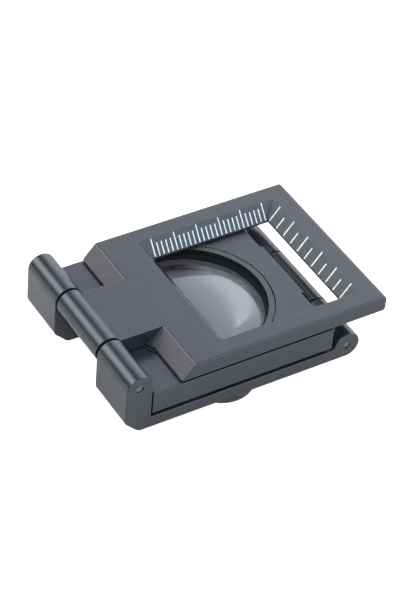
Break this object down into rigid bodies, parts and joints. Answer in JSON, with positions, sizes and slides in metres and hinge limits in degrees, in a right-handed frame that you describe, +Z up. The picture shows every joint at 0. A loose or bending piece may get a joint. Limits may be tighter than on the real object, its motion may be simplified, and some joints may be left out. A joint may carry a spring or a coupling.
{
  "type": "folding magnifier with measuring window",
  "caption": "Folding hand lens of three hinged metal leaves: a back plate, a lens plate holding a glass lens in a round cell, and a scale plate with a square bevelled window marked with scales.",
  "frame": {"origin": "middle of the bounding box's footprint, at the level the folded magnifier rests on: the lower rim of the lens cell and the two feet", "axes": "+X from the tall lugs with the scale hinge towards the scale plate's free end, +Y across the width towards the millimetre scale, +Z up through the folded stack from the back plate to the scale plate"},
  "size_m": [0.0564, 0.0382, 0.0154],
  "materials": {
    "anodised_metal": "dark slate-grey satin anodising",
    "cell_metal": "satin grey, a little lighter than the plates",
    "black_metal": "matt black anodising",
    "pin_steel": "darkened steel",
    "washer_metal": "blackened",
    "optical_glass": "polished clear",
    "mark_paint": "pale bluish-white filled paint"
  },
  "bodies": {
    "back": {"back_plate": "anodised_metal", "scale_hinge_pin": "pin_steel", "lens_hinge_pin": "pin_steel", "scale_hinge_washers": "washer_metal", "lens_hinge_washers": "washer_metal"},
    "scale_leaf": {"scale_plate": "anodised_metal", "mm_marks_long": "mark_paint", "mm_marks_short": "mark_paint", "tenth_inch_marks_long": "mark_paint", "tenth_inch_marks_short": "mark_paint"},
    "lens_leaf": {"lens_plate": "anodised_metal", "lens_cell": "cell_metal", "lens_retaining_ring": "black_metal", "lens_crown": "optical_glass", "lens_flint": "optical_glass"}
  },
  "joints": [
    {"name": "scale_hinge", "type": "hinge", "parent": "back", "child": "scale_leaf", "pos_m": [-0.0255, 0, 0.0126], "axis": [0, -1, 0], "range_deg": [0, 270]},
    {"name": "lens_hinge", "type": "hinge", "parent": "back", "child": "lens_leaf", "pos_m": [0.02015, 0, 0.0047], "axis": [0, 1, 0], "range_deg": [-0.8, 0.25]}
  ]
}
